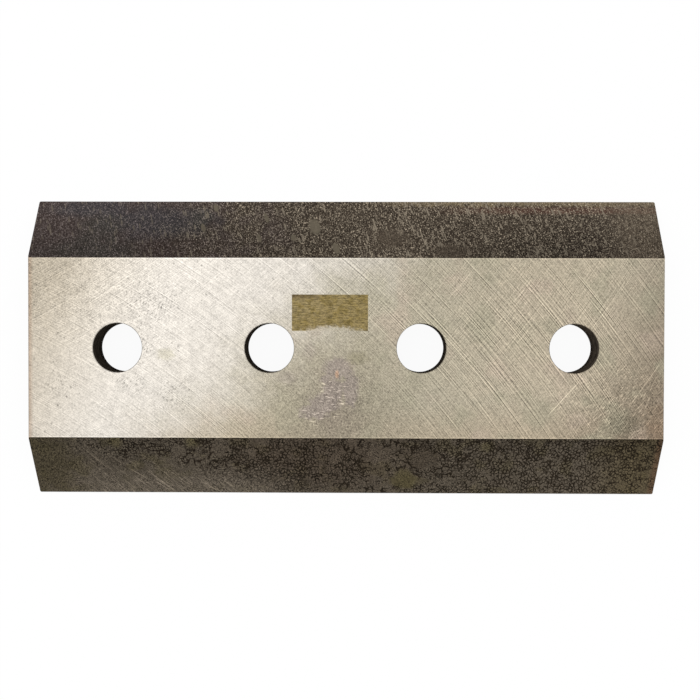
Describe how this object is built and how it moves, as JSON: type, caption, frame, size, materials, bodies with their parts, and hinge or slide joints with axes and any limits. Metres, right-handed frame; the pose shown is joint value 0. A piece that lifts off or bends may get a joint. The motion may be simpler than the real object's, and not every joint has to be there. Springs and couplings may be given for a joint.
{
  "type": "wood chipper knife",
  "caption": "Flat steel chipper knife with a cutting bevel ground along both long sides and a row of bolt holes through the flat land between them.",
  "frame": {"origin": "centre of the wide back face, which lies on Z = 0", "axes": "+X along the length and the cutting edges, +Y across the width, +Z from the wide back face to the land"},
  "size_m": [0.2652, 0.126, 0.0159],
  "materials": {
    "knife_steel": "rotary-ground land with crossed grinding arcs, darkened matte bevels and blackened bores"
  },
  "bodies": {
    "root": {"chipper_knife": "knife_steel"}
  },
  "joints": []
}
